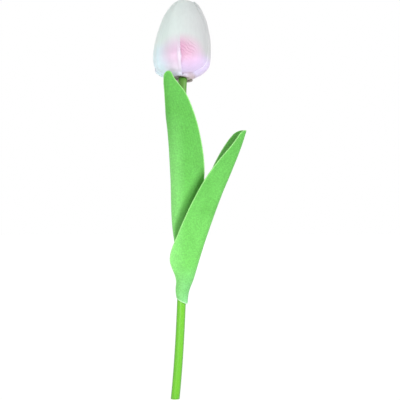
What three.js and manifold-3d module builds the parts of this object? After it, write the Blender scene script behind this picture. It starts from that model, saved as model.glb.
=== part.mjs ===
// An artificial tulip with a closed bud. Six foam petals stand on a moulded receptacle, round a pistil and
// its stamens. The receptacle pushes onto a wire peg at the top of a wire-cored plastic stem, and two folded
// leaves clasp the stem. Millimetres, +Z up the stem, +X to the right and -Y to the front.
// The origin is the centre of the stem's cut end.
import * as THREE from "three";
import { LoftGeometry } from "three/addons/geometries/LoftGeometry.js";
import { mergeVertices } from "three/addons/utils/BufferGeometryUtils.js";
import Module from "manifold-3d";

const wasm = await Module();
wasm.setup();
const { degToRad, smoothstep } = THREE.MathUtils;

// Clearance between two pieces that touch
const GAP = 0.35;

// Stem: a moulded sleeve over a wire
const STEM_RADIUS = 3.25;
const STEM_HEIGHT = 240.4;
const STEM_BOW = 6.6;
const STEM_SIDES = 16;
const WIRE_RADIUS = 1.0;
const WIRE_SIDES = 10;

// The neck turns into the lean of the flower head over this length
const NECK_CURL = 16;
const LEAN_RIGHT = degToRad(5.2);
const LEAN_BACK = degToRad(8);

// Leaves, which clasp the stem one above the other. A drop is measured down from the stem's top, a reach out
// from the stem at the leaf's tip, and a half is the greatest width to one side of the fold. The collar's cut
// lower edge rises round the stem from the fold.
const LEAF_THICKNESS = 0.8;
const COLLAR_RISE = 4;
const TALL_LEAF_DROP = 146.7;
const TALL_LEAF_RISE = 150;
const TALL_LEAF_REACH = 24.7;
const TALL_LEAF_HALF = 20.6;
const TALL_LEAF_CURL = 30;
const TALL_LEAF_AZIMUTH = -24.5;
const TALL_LEAF_FACING = -8;
const SHORT_LEAF_DROP = 169.7;
const SHORT_LEAF_RISE = 131;
const SHORT_LEAF_REACH = 46.5;
const SHORT_LEAF_HALF = 25;
const SHORT_LEAF_AZIMUTH = 90;

// Each ball-shaped split of the stem stands for the bend of one length of it
const NECK_BEND_DROP = 51;
const BASE_BEND_RISE = 38.9;

// Flower head, measured up its own axis from the lip of its petals
const HEAD_RADIUS = 22.5;
const HEAD_HEIGHT = 61.5;
const OUTER_PETAL_HALF = 11.6;
const INNER_PETAL_HALF = 15.6;
const PETAL_THICKNESS = 1.1;
const PETAL_TWIST = degToRad(40);
// The bud stands to the left of the stem by the first amount, and its lower lip by the second as well
const BELLY_SHIFT = 3;
const LIP_SHIFT = 2;
const PEG_LENGTH = 13;
const BOSS_RADIUS = 5.9;
const BOSS_HEIGHT = 1.2;
const MOUTH_CLEARANCE = 0.7;
const LEAF_TO_BUD = 2;
const LIP_ROUNDING = 2.2;
const FLANGE_OVERHANG = 2.4;
const FLANGE_THICKNESS = 1.4;
const PLUG_WALL = 1.9;
const PLUG_FOOT = 1;
const PEG_END_CLEARANCE = 1;

const tulip = new THREE.Group();
const flowerHead = new THREE.Group();

const plastic = (color, roughness) => new THREE.MeshStandardMaterial({ color, roughness, metalness: 0 });
const stemGreen = plastic(0x84d64a, 0.45);
const leafGreen = plastic(0x7ddc6c, 0.7);
const petalWhite = plastic(0xeef0ee, 0.6);
const petalBlush = plastic(0xf4dbe8, 0.6);
const receptacleGreen = plastic(0xb8cfa8, 0.5);
const pistilGreen = plastic(0xc9d77a, 0.5);
const antherYellow = plastic(0xd8b23c, 0.8);
const wireSteel = new THREE.MeshStandardMaterial({ color: 0x8d9296, roughness: 0.4, metalness: 1 });

function addPiece(name, geometry, material, parent = tulip) {
  const mesh = new THREE.Mesh(geometry, material);
  mesh.name = name;
  parent.add(mesh);
  return mesh;
}

// Solids that are cut and joined
function toSolid(geometry) {
  const bare = new THREE.BufferGeometry();
  bare.setAttribute("position", geometry.toNonIndexed().getAttribute("position"));
  const merged = mergeVertices(bare, 1e-4);
  return new wasm.Manifold(new wasm.Mesh({
    numProp: 3,
    vertProperties: merged.getAttribute("position").array,
    triVerts: new Uint32Array(merged.index.array),
  }));
}

function toGeometry(solid) {
  const { vertProperties, triVerts } = solid.getMesh();
  const geometry = new THREE.BufferGeometry();
  geometry.setAttribute("position", new THREE.BufferAttribute(new Float32Array(vertProperties), 3));
  geometry.setIndex(new THREE.BufferAttribute(new Uint32Array(triVerts), 1));
  geometry.computeVertexNormals();
  return geometry;
}

// The stem's route: a gentle bow up from the cut end, then a short curl into the head's lean
const headAxis = new THREE.Vector3(Math.sin(LEAN_RIGHT), Math.sin(LEAN_BACK), 1).normalize();
const bowTop = new THREE.Vector3(0.78 * STEM_BOW, 0, STEM_HEIGHT - NECK_CURL);
const bowEnd = new THREE.Vector3(STEM_BOW, 0, 0.62 * STEM_HEIGHT);
const bow = new THREE.CubicBezierCurve3(
  new THREE.Vector3(0, 0, 0),
  new THREE.Vector3(STEM_BOW, 0, 0.27 * STEM_HEIGHT),
  bowEnd,
  bowTop,
);
const curlCorner = bowTop.clone().addScaledVector(bow.getTangent(1), NECK_CURL / 2);
const stemTop = curlCorner.clone().addScaledVector(headAxis, NECK_CURL / 2);
const stemRoute = new THREE.CurvePath();
stemRoute.add(bow);
stemRoute.add(new THREE.QuadraticBezierCurve3(bowTop, curlCorner, stemTop));

// The point of the stem's centre line at a height, which goes straight on past either end
function stemAt(height) {
  if (height <= 0) return bow.getTangent(0).multiplyScalar(height / bow.getTangent(0).z);
  if (height >= stemTop.z) {
    return stemTop.clone().addScaledVector(headAxis, (height - stemTop.z) / headAxis.z);
  }
  let low = 0;
  let high = 1;
  for (let step = 0; step < 30; step++) {
    const middle = (low + high) / 2;
    if (stemRoute.getPointAt(middle).z < height) low = middle;
    else high = middle;
  }
  return stemRoute.getPointAt(low);
}

function polygon(radius, sides) {
  const corners = [];
  for (let k = 0; k < sides; k++) {
    const angle = (2 * Math.PI * k) / sides;
    corners.push(new THREE.Vector2(radius * Math.cos(angle), radius * Math.sin(angle)));
  }
  return new THREE.Shape(corners);
}

// A round rod along the stem's route from one height to another
function stemRod(radius, sides, bottom, top, steps) {
  const points = [];
  for (let k = 0; k <= steps; k++) points.push(stemAt(bottom + ((top - bottom) * k) / steps));
  const options = { steps, bevelEnabled: false, extrudePath: new THREE.CatmullRomCurve3(points) };
  return toSolid(new THREE.ExtrudeGeometry(polygon(radius, sides), options));
}

function ball(radius, centre) {
  const sphere = new THREE.SphereGeometry(radius, STEM_SIDES, STEM_SIDES / 2);
  return toSolid(sphere.translate(centre.x, centre.y, centre.z));
}

const neckBend = stemAt(STEM_HEIGHT - NECK_BEND_DROP);
const baseBend = stemAt(BASE_BEND_RISE);
const CUP_RADIUS = STEM_RADIUS + GAP;
const BORE_RADIUS = WIRE_RADIUS + GAP;
// How far past the ends of a piece its cutting tools reach
const REACH = 4;

// A sleeve with a ball at its upper end, a cup at its lower end, or a plain end where there is no bend
function sleeve(bottomBend, topBend, bottom, top, steps) {
  let solid = stemRod(STEM_RADIUS, STEM_SIDES, bottom, top, steps);
  if (topBend) solid = solid.add(ball(STEM_RADIUS, topBend));
  if (bottomBend) solid = solid.subtract(ball(CUP_RADIUS, bottomBend));
  return solid.subtract(stemRod(BORE_RADIUS, WIRE_SIDES, bottom - REACH, top + REACH, steps));
}

// Everything below the ground plane, where the stem is cut off square
const groundSide = 10 * STEM_RADIUS;
const groundBox = new THREE.BoxGeometry(groundSide, groundSide, groundSide).translate(0, 0, -groundSide / 2);
const belowGround = toSolid(groundBox);
const sleeveLower = sleeve(null, baseBend, -REACH, baseBend.z, 5).subtract(belowGround);
const sleeveMiddle = sleeve(baseBend, neckBend, baseBend.z, neckBend.z, 12);
const sleeveUpper = sleeve(neckBend, null, neckBend.z, stemTop.z, 6);
addPiece("stem_sleeve_lower", toGeometry(sleeveLower), stemGreen);
addPiece("stem_sleeve_middle", toGeometry(sleeveMiddle), stemGreen);
addPiece("stem_sleeve_upper", toGeometry(sleeveUpper), stemGreen);

// The wire ends inside each ball, and starts again flush with the cup over it
const wireEnd = Math.sqrt(STEM_RADIUS ** 2 - WIRE_RADIUS ** 2);
const wirePiece = (bottom, top, steps) => stemRod(WIRE_RADIUS, WIRE_SIDES, bottom, top, steps);
const wireLower = wirePiece(-REACH, baseBend.z + wireEnd, 5).subtract(belowGround);
const wireMiddle = wirePiece(baseBend.z + CUP_RADIUS, neckBend.z + wireEnd, 12);
const wireUpper = wirePiece(neckBend.z + CUP_RADIUS, stemTop.z + PEG_LENGTH * headAxis.z, 7);
addPiece("stem_wire_lower", toGeometry(wireLower), wireSteel);
addPiece("stem_wire_middle", toGeometry(wireMiddle), wireSteel);
addPiece("stem_wire_upper", toGeometry(wireUpper), wireSteel);

// The petals' outer profile from the mouth round the stem, over the lip and up to the tips, as shares of the
// head's radius and height
const MOUTH_RADIUS = BOSS_RADIUS + MOUTH_CLEARANCE;
const budSide = [
  [0.54, 0.023], [0.725, 0.065], [0.89, 0.125], [0.982, 0.195], [1, 0.275], [0.993, 0.365], [0.97, 0.46],
  [0.928, 0.555], [0.863, 0.65], [0.785, 0.745], [0.67, 0.835], [0.52, 0.915], [0.37, 0.968], [0.23, 0.993],
  [0.09, 1],
];
const profile = new THREE.SplineCurve([
  new THREE.Vector2(MOUTH_RADIUS, 0.45 * LIP_ROUNDING),
  new THREE.Vector2(MOUTH_RADIUS + 0.4 * LIP_ROUNDING, 0.1 * LIP_ROUNDING),
  new THREE.Vector2(MOUTH_RADIUS + 1.3 * LIP_ROUNDING, 0),
  ...budSide.map(([radius, height]) => new THREE.Vector2(radius * HEAD_RADIUS, height * HEAD_HEIGHT)),
]);

// A point at a share of the profile's length, moved in by a depth square to the petal's surface
function profileAt(share, depth) {
  const point = profile.getPointAt(share);
  const tangent = profile.getTangentAt(share);
  return new THREE.Vector2(point.x - tangent.y * depth, point.y + tangent.x * depth);
}

// How far the petals stand to the left at a share of the profile: nothing at the mouth, most at the lip
const LIP_SHARE = 0.1;
const BELLY_SHARE = 0.28;
function bellyShift(share) {
  const pastMouth = smoothstep(share, 0, LIP_SHARE);
  return BELLY_SHIFT * pastMouth + LIP_SHIFT * (pastMouth - smoothstep(share, LIP_SHARE, BELLY_SHARE));
}

// A petal is a curved shell between two depths under the profile. Its half width is read along its length,
// and its middle line twists round the bud towards the base.
const PETAL_ROWS = 24;
const PETAL_COLUMNS = 8;
const WIDEST_HALF_ANGLE = degToRad(56);
const evenShares = Array.from({ length: PETAL_ROWS }, (_, i) => i / PETAL_ROWS);
const profileRows = evenShares.map((share) => (1 - Math.cos(Math.PI * share)) / 2);
function petal(azimuth, depth, startShare, endShare, widest, halfWidths) {
  const shares = halfWidths.map((row) => row[0]);
  const widthAt = new THREE.CubicInterpolant(shares, halfWidths.map((row) => row[1]), 1);
  const between = profileRows.filter((share) => share > startShare && share < endShare);
  const sections = [startShare, ...between, endShare].map((share) => {
    const along = (share - startShare) / (endShare - startShare);
    const outer = profileAt(share, depth);
    const inner = profileAt(share, depth + PETAL_THICKNESS);
    const halfWidth = widest * widthAt.evaluate(along)[0];
    const halfAngle = Math.min(halfWidth / profile.getPointAt(share).x, WIDEST_HALF_ANGLE);
    const middle = degToRad(azimuth) + PETAL_TWIST * (1 - share) ** 2;
    const place = (point, k) => {
      const angle = middle + halfAngle * ((2 * k) / PETAL_COLUMNS - 1);
      const across = point.x * Math.sin(angle) - bellyShift(share);
      return new THREE.Vector3(across, -point.x * Math.cos(angle), point.y);
    };
    const ring = [];
    for (let k = 0; k <= PETAL_COLUMNS; k++) ring.push(place(outer, k));
    for (let k = PETAL_COLUMNS; k >= 0; k--) ring.push(place(inner, k));
    return ring;
  });
  return new LoftGeometry(sections, { capStart: true, capEnd: true });
}

// Half widths at shares of a petal's length, as shares of the greatest half width
const outerWidths = [
  [0, 0.56], [0.03, 0.67], [0.07, 0.74], [0.15, 0.888], [0.3, 0.966], [0.47, 1], [0.64, 0.879], [0.8, 0.707],
  [0.92, 0.483], [0.97, 0.362], [1, 0.207],
];
const innerWidths = [
  [0, 0.487], [0.07, 0.705], [0.16, 0.91], [0.35, 1], [0.5, 0.962], [0.7, 0.769], [0.85, 0.513],
  [0.95, 0.256], [1, 0.096],
];
const INNER_START = 0.07;
const outerEnds = [0.965, 0.93, 0.955];
const outerAzimuths = [-46, 83, -163];
const innerAzimuths = [19, 140, -105];
outerAzimuths.forEach((azimuth, k) => {
  const shell = petal(azimuth, 0, 0, outerEnds[k], OUTER_PETAL_HALF, outerWidths);
  addPiece(`outer_petal_${k + 1}`, shell, petalWhite, flowerHead);
});
innerAzimuths.forEach((azimuth, k) => {
  const depth = PETAL_THICKNESS + GAP;
  const shell = petal(azimuth, depth, INNER_START, 1, INNER_PETAL_HALF, innerWidths);
  addPiece(`inner_petal_${k + 1}`, shell, petalBlush, flowerHead);
});

// Receptacle: a moulded boss that shows in the mouth, a flange that the petals are glued under, and a plug
// with the blind bore for the wire peg
const lathe = (points, sides) => new THREE.LatheGeometry(
  points.map(([radius, height]) => new THREE.Vector2(radius, height)), sides).rotateX(Math.PI / 2);
const FLANGE_RADIUS = MOUTH_RADIUS + FLANGE_OVERHANG;
const petalStack = 2 * PETAL_THICKNESS + GAP;

// The height of the inside of the petals at a radius, on the side where they stand nearest to the stem
function insideHeight(radius) {
  let share = INNER_START;
  while (share < 0.5 && profileAt(share, petalStack).x - bellyShift(share) < radius) share += 0.002;
  return profileAt(share, petalStack).y;
}

const flangeBottom = insideHeight(FLANGE_RADIUS) + GAP;
const flangeTop = flangeBottom + FLANGE_THICKNESS;
const boreTop = BOSS_HEIGHT - GAP + PEG_LENGTH + PEG_END_CLEARANCE;
const plugTop = boreTop + PLUG_WALL;
const plugRadius = BORE_RADIUS + PLUG_WALL;
addPiece("receptacle", lathe([
  [0, boreTop],
  [BORE_RADIUS, boreTop],
  [BORE_RADIUS, BOSS_HEIGHT],
  [BOSS_RADIUS, BOSS_HEIGHT],
  [BOSS_RADIUS, flangeBottom],
  [FLANGE_RADIUS, flangeBottom],
  [FLANGE_RADIUS, flangeTop],
  [plugRadius + PLUG_FOOT, flangeTop],
  [plugRadius, flangeTop + PLUG_FOOT],
  [plugRadius, plugTop],
  [0, plugTop],
], 24), receptacleGreen, flowerHead);

// Pistil, with a swollen ovary and a three-lobed stigma
const PISTIL_RADIUS = 2.6;
const PISTIL_HEIGHT = 17;
const STIGMA_LOBES = 3;
const pistilBase = plugTop + GAP;
let pistil = toSolid(lathe([
  [0, pistilBase],
  [PISTIL_RADIUS, pistilBase],
  [1.15 * PISTIL_RADIUS, pistilBase + 0.35 * PISTIL_HEIGHT],
  [0.85 * PISTIL_RADIUS, pistilBase + 0.8 * PISTIL_HEIGHT],
  [0.95 * PISTIL_RADIUS, pistilBase + PISTIL_HEIGHT],
  [0, pistilBase + PISTIL_HEIGHT],
], 12));
for (let k = 0; k < STIGMA_LOBES; k++) {
  const lobe = new THREE.SphereGeometry(0.75 * PISTIL_RADIUS, 8, 6).scale(1.2, 0.7, 0.8);
  lobe.translate(0.6 * PISTIL_RADIUS, 0, 0).rotateZ((2 * Math.PI * k) / STIGMA_LOBES);
  pistil = pistil.add(toSolid(lobe.translate(0, 0, pistilBase + PISTIL_HEIGHT)));
}
addPiece("pistil", toGeometry(pistil), pistilGreen, flowerHead);

// Stamens: each a filament that stands on the flange, with an anther on top
const STAMENS = 6;
const STAMEN_RING = 7;
const FILAMENT_RADIUS = 0.7;
const FILAMENT_LENGTH = 15;
const ANTHER_RADIUS = 1.3;
const ANTHER_LENGTH = 10;
const stamenBase = flangeTop + GAP;
for (let k = 0; k < STAMENS; k++) {
  const filament = lathe([
    [0, stamenBase],
    [FILAMENT_RADIUS, stamenBase],
    [FILAMENT_RADIUS, stamenBase + FILAMENT_LENGTH + ANTHER_RADIUS],
    [0, stamenBase + FILAMENT_LENGTH + ANTHER_RADIUS],
  ], 8);
  const anther = new THREE.CapsuleGeometry(ANTHER_RADIUS, ANTHER_LENGTH - 2 * ANTHER_RADIUS, 3, 8);
  anther.rotateX(Math.PI / 2).translate(0, 0, stamenBase + FILAMENT_LENGTH + ANTHER_LENGTH / 2);
  const stamen = toSolid(filament).add(toSolid(anther));
  const geometry = toGeometry(stamen).translate(STAMEN_RING, 0, 0);
  geometry.rotateZ((2 * Math.PI * (k + 0.5)) / STAMENS);
  addPiece(`stamen_${k + 1}`, geometry, antherYellow, flowerHead);
}

// The head sits with its boss just above the sleeve's end
flowerHead.position.copy(stemTop).addScaledVector(headAxis, GAP - BOSS_HEIGHT);
flowerHead.quaternion.setFromUnitVectors(new THREE.Vector3(0, 0, 1), headAxis);
tulip.add(flowerHead);

// Leaves. Each is a strip whose fold line climbs beside the stem. Seen from outside, a half goes off to each
// side of the fold: round an arc of some radius through some turn, then straight.
const SHEATH_CLEARANCE = 0.5;
const SHEATH_RADIUS = STEM_RADIUS + SHEATH_CLEARANCE + LEAF_THICKNESS / 2;
const LEAF_ROWS = 30;
const LEAF_COLUMNS = 8;
const COLLAR_SHARE = 0.12;
const direction = (azimuth) => new THREE.Vector3(Math.sin(azimuth), -Math.cos(azimuth), 0);

// One half's point at a distance from the fold: how far it has gone aside and back, and its turn by then
function halfSection(distance, radius, turn) {
  const bent = Math.min(distance / radius, turn);
  const straight = distance - bent * radius;
  return {
    aside: radius * Math.sin(bent) + straight * Math.cos(bent),
    back: radius * (1 - Math.cos(bent)) + straight * Math.sin(bent),
    turn: bent,
  };
}

// Each station holds a share of the rise, the fold's azimuth round the stem and its distance from the stem's
// centre line, the way it faces, and for the left and the right half the width, the radius and the turn
const FIELDS = [
  "azimuth", "out", "facing", "left", "leftRadius", "leftTurn", "right", "rightRadius", "rightTurn",
];
function leaf(base, rise, stations) {
  const values = stations.flatMap((station) => FIELDS.map((field) => station[field]));
  const track = new THREE.CubicInterpolant(stations.map((station) => station.at), values, FIELDS.length);
  const stationAt = (share) => {
    const result = track.evaluate(share);
    return Object.fromEntries(FIELDS.map((field, k) => [field, result[k]]));
  };
  const foldAt = (share) => {
    const { azimuth, out } = stationAt(share);
    return stemAt(base + rise * share).addScaledVector(direction(degToRad(azimuth)), out);
  };
  const sections = [];
  for (let i = 0; i <= LEAF_ROWS; i++) {
    const share = 0.5 * (i / LEAF_ROWS + Math.sin((Math.PI / 2) * (i / LEAF_ROWS)));
    const station = stationAt(share);
    const fold = foldAt(share);
    const upward = foldAt(Math.min(share + 0.01, 1));
    upward.sub(foldAt(Math.max(share - 0.01, 0))).normalize();
    const outward = direction(degToRad(station.facing));
    outward.addScaledVector(upward, -outward.dot(upward)).normalize();
    const rightward = new THREE.Vector3().crossVectors(upward, outward);
    const collar = COLLAR_RISE * (1 - smoothstep(share, 0, COLLAR_SHARE));
    const outer = [];
    const inner = [];
    for (let k = -LEAF_COLUMNS; k <= LEAF_COLUMNS; k++) {
      const side = k < 0 ? -1 : 1;
      const distance = Math.abs(k) / LEAF_COLUMNS;
      const half = k < 0
        ? halfSection(distance * station.left, station.leftRadius, degToRad(station.leftTurn))
        : halfSection(distance * station.right, station.rightRadius, degToRad(station.rightTurn));
      const point = fold.clone().addScaledVector(rightward, side * half.aside);
      point.addScaledVector(outward, -half.back);
      point.addScaledVector(upward, collar * distance ** 1.5);
      const normal = outward.clone().multiplyScalar(Math.cos(half.turn));
      normal.addScaledVector(rightward, side * Math.sin(half.turn));
      outer.push(point.clone().addScaledVector(normal, LEAF_THICKNESS / 2));
      inner.unshift(point.clone().addScaledVector(normal, -LEAF_THICKNESS / 2));
    }
    sections.push([...outer, ...inner]);
  }
  return new LoftGeometry(sections, { capStart: true, capEnd: true });
}

// The farthest that the bud stands out from the stem's line towards the tall leaf, up to a height
function budReach(height) {
  const top = (height - flowerHead.position.z) / headAxis.z;
  const towardsLeaf = Math.sin(degToRad(-TALL_LEAF_AZIMUTH));
  const below = profileRows.filter((share) => profileAt(share, 0).y <= top);
  return Math.max(...below.map((share) => profileAt(share, 0).x + bellyShift(share) * towardsLeaf));
}

// The tall leaf stands up in front and its tip lies before the bud, clear of it. Its left edge folds back
// round the stem.
const tallLeafBase = STEM_HEIGHT - TALL_LEAF_DROP;
const clearOfBud = budReach(tallLeafBase + TALL_LEAF_RISE) + LEAF_TO_BUD + LEAF_THICKNESS;
const tallLeafReach = Math.max(TALL_LEAF_REACH, clearOfBud);
const tallLeaf = leaf(tallLeafBase, TALL_LEAF_RISE, [
  {
    at: 0, azimuth: -15, out: SHEATH_RADIUS, facing: -15,
    left: 2.53 * SHEATH_RADIUS, leftRadius: SHEATH_RADIUS, leftTurn: 180,
    right: 2.53 * SHEATH_RADIUS, rightRadius: SHEATH_RADIUS, rightTurn: 180,
  },
  {
    at: 0.1, azimuth: -18, out: 1.096 * SHEATH_RADIUS, facing: -15,
    left: 2.89 * SHEATH_RADIUS, leftRadius: 1.193 * SHEATH_RADIUS, leftTurn: 180,
    right: 2.77 * SHEATH_RADIUS, rightRadius: 1.145 * SHEATH_RADIUS, rightTurn: 130,
  },
  {
    at: 0.25, azimuth: -34, out: 1.53 * SHEATH_RADIUS, facing: -14,
    left: 0.68 * TALL_LEAF_HALF, leftRadius: 1.386 * SHEATH_RADIUS, leftTurn: 165,
    right: 0.728 * TALL_LEAF_HALF, rightRadius: 0.467 * TALL_LEAF_CURL, rightTurn: 60,
  },
  {
    at: 0.5, azimuth: -31, out: 1.843 * SHEATH_RADIUS, facing: -12,
    left: 0.825 * TALL_LEAF_HALF, leftRadius: 1.627 * SHEATH_RADIUS, leftTurn: 150,
    right: TALL_LEAF_HALF, rightRadius: 0.867 * TALL_LEAF_CURL, rightTurn: 32,
  },
  {
    at: 0.7, azimuth: -28, out: 0.473 * tallLeafReach, facing: -10,
    left: 0.602 * TALL_LEAF_HALF, leftRadius: 1.542 * SHEATH_RADIUS, leftTurn: 120,
    right: 0.883 * TALL_LEAF_HALF, rightRadius: TALL_LEAF_CURL, rightTurn: 20,
  },
  {
    at: 0.88, azimuth: -24, out: 0.745 * tallLeafReach, facing: TALL_LEAF_FACING,
    left: 0.301 * TALL_LEAF_HALF, leftRadius: 1.928 * SHEATH_RADIUS, leftTurn: 60,
    right: 0.563 * TALL_LEAF_HALF, rightRadius: TALL_LEAF_CURL, rightTurn: 15,
  },
  {
    at: 0.97, azimuth: TALL_LEAF_AZIMUTH, out: 0.945 * tallLeafReach, facing: TALL_LEAF_FACING,
    left: 0.194 * TALL_LEAF_HALF, leftRadius: 1.928 * SHEATH_RADIUS, leftTurn: 30,
    right: 0.252 * TALL_LEAF_HALF, rightRadius: TALL_LEAF_CURL, rightTurn: 10,
  },
  {
    at: 1, azimuth: TALL_LEAF_AZIMUTH, out: tallLeafReach, facing: TALL_LEAF_FACING,
    left: 0.117 * TALL_LEAF_HALF, leftRadius: 1.928 * SHEATH_RADIUS, leftTurn: 20,
    right: 0.126 * TALL_LEAF_HALF, rightRadius: TALL_LEAF_CURL, rightTurn: 5,
  },
]);
addPiece("tall_leaf", tallLeaf, leafGreen);

// The short leaf leans out to the right, folded along its middle
const shortLeaf = leaf(STEM_HEIGHT - SHORT_LEAF_DROP, SHORT_LEAF_RISE, [
  {
    at: 0, azimuth: SHORT_LEAF_AZIMUTH, out: SHEATH_RADIUS, facing: SHORT_LEAF_AZIMUTH,
    left: 2.795 * SHEATH_RADIUS, leftRadius: SHEATH_RADIUS, leftTurn: 180,
    right: 2.506 * SHEATH_RADIUS, rightRadius: SHEATH_RADIUS, rightTurn: 180,
  },
  {
    at: 0.075, azimuth: SHORT_LEAF_AZIMUTH, out: 1.25 * SHEATH_RADIUS, facing: SHORT_LEAF_AZIMUTH,
    left: 3.5 * SHEATH_RADIUS, leftRadius: 1.24 * SHEATH_RADIUS, leftTurn: 160,
    right: 2.65 * SHEATH_RADIUS, rightRadius: 1.169 * SHEATH_RADIUS, rightTurn: 150,
  },
  {
    at: 0.145, azimuth: SHORT_LEAF_AZIMUTH, out: 2.012 * SHEATH_RADIUS, facing: SHORT_LEAF_AZIMUTH,
    left: 0.744 * SHORT_LEAF_HALF, leftRadius: 1.41 * SHEATH_RADIUS, leftTurn: 95,
    right: 0.48 * SHORT_LEAF_HALF, rightRadius: 1.41 * SHEATH_RADIUS, rightTurn: 100,
  },
  {
    at: 0.215, azimuth: SHORT_LEAF_AZIMUTH, out: 2.614 * SHEATH_RADIUS, facing: SHORT_LEAF_AZIMUTH,
    left: 0.984 * SHORT_LEAF_HALF, leftRadius: 1.482 * SHEATH_RADIUS, leftTurn: 84,
    right: 0.56 * SHORT_LEAF_HALF, rightRadius: 1.482 * SHEATH_RADIUS, rightTurn: 80,
  },
  {
    at: 0.36, azimuth: SHORT_LEAF_AZIMUTH, out: 0.348 * SHORT_LEAF_REACH, facing: SHORT_LEAF_AZIMUTH,
    left: SHORT_LEAF_HALF, leftRadius: 1.446 * SHEATH_RADIUS, leftTurn: 79,
    right: 0.64 * SHORT_LEAF_HALF, rightRadius: 1.446 * SHEATH_RADIUS, rightTurn: 72,
  },
  {
    at: 0.63, azimuth: SHORT_LEAF_AZIMUTH, out: 0.613 * SHORT_LEAF_REACH, facing: SHORT_LEAF_AZIMUTH,
    left: 0.896 * SHORT_LEAF_HALF, leftRadius: 1.205 * SHEATH_RADIUS, leftTurn: 76,
    right: 0.68 * SHORT_LEAF_HALF, rightRadius: 1.205 * SHEATH_RADIUS, rightTurn: 68,
  },
  {
    at: 0.77, azimuth: SHORT_LEAF_AZIMUTH, out: 0.778 * SHORT_LEAF_REACH, facing: SHORT_LEAF_AZIMUTH,
    left: 0.624 * SHORT_LEAF_HALF, leftRadius: 1.084 * SHEATH_RADIUS, leftTurn: 74,
    right: 0.672 * SHORT_LEAF_HALF, rightRadius: 1.084 * SHEATH_RADIUS, rightTurn: 74,
  },
  {
    at: 0.91, azimuth: SHORT_LEAF_AZIMUTH, out: 0.933 * SHORT_LEAF_REACH, facing: SHORT_LEAF_AZIMUTH,
    left: 0.32 * SHORT_LEAF_HALF, leftRadius: 1.084 * SHEATH_RADIUS, leftTurn: 70,
    right: 0.576 * SHORT_LEAF_HALF, rightRadius: 1.084 * SHEATH_RADIUS, rightTurn: 76,
  },
  {
    at: 1, azimuth: SHORT_LEAF_AZIMUTH, out: SHORT_LEAF_REACH, facing: SHORT_LEAF_AZIMUTH,
    left: 0.104 * SHORT_LEAF_HALF, leftRadius: 1.084 * SHEATH_RADIUS, leftTurn: 50,
    right: 0.24 * SHORT_LEAF_HALF, rightRadius: 1.084 * SHEATH_RADIUS, rightTurn: 60,
  },
]);
addPiece("short_leaf", shortLeaf, leafGreen);

export default tulip;
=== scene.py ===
from math import cos, exp, pi, radians, sin, sqrt
import bmesh
import bpy
from mathutils import Matrix, Vector
from mathutils.kdtree import KDTree


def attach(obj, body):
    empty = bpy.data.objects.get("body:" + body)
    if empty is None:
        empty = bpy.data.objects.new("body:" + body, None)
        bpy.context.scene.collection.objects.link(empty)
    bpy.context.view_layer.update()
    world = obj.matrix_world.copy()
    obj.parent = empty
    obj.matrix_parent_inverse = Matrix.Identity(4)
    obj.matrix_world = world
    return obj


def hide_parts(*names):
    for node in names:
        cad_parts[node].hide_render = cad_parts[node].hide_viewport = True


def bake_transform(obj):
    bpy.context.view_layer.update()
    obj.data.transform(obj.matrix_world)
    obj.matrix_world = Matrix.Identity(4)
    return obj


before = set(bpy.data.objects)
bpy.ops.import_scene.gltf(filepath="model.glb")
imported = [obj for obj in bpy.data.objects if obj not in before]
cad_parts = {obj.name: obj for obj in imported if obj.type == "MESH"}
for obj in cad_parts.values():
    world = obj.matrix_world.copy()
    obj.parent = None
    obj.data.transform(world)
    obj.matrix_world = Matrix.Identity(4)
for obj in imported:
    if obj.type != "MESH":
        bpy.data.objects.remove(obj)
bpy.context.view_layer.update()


# Studio: a pale floor of paper under a white sky, which is not part of the flower, lit by soft boxes from the
# left, the right, low down in front, above and behind. The camera stands level with the middle of the flower.
MM = 0.001
CAMERA_PLACE = (18.6, -650, 148.9)
WORLD_STRENGTH = 0.44


def hex_colour(text):
    """The linear colour of an sRGB hex value."""
    parts = [int(text[k:k + 2], 16) / 255 for k in (0, 2, 4)]
    linear = [part / 12.92 if part <= 0.04045 else ((part + 0.055) / 1.055) ** 2.4 for part in parts]
    return (*linear, 1.0)


def add_node(tree, kind, inputs=None, **settings):
    """A node with its settings. An input goes by its name, or by its number where names repeat. It is set to
    a value or a hex colour, or linked to an output or to the first output that another node has in use."""
    made = tree.nodes.new("ShaderNode" + kind)
    for name, value in settings.items():
        setattr(made, name, value)
    for name, value in (inputs or {}).items():
        socket = next(item for k, item in enumerate(made.inputs) if item.enabled and name in (k, item.name))
        if isinstance(value, bpy.types.Node):
            value = next(item for item in value.outputs if item.enabled)
        if isinstance(value, bpy.types.NodeSocket):
            tree.links.new(value, socket)
        else:
            socket.default_value = hex_colour(value) if isinstance(value, str) else value
    return made


def new_material(name):
    """A material, its node tree, and the place on the piece that its patterns go by."""
    made = bpy.data.materials.new(name)
    made.use_nodes = True
    made.node_tree.nodes.clear()
    return made, made.node_tree, add_node(made.node_tree, "TexCoord").outputs["Object"]


scene = bpy.context.scene
scene.view_settings.view_transform = "Standard"

lens = bpy.data.cameras.new("photo_camera")
lens.lens = 78
lens.sensor_width = 36
lens.clip_end = 20
camera = bpy.data.objects.new("photo_camera", lens)
scene.collection.objects.link(camera)
camera.location = Vector(CAMERA_PLACE) * MM
camera.rotation_euler = (pi / 2, 0, 0)
scene.camera = camera


def seen_rays(tree):
    """1 on the rays that show the background to the eye, straight or by reflection, and 0 on the rest."""
    rays = add_node(tree, "LightPath").outputs
    seen = add_node(tree, "Math", {0: rays["Is Camera Ray"], 1: rays["Is Glossy Ray"]}, operation="MAXIMUM")
    return add_node(tree, "Math", {0: seen, 1: rays["Is Transmission Ray"]}, operation="MAXIMUM")


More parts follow.
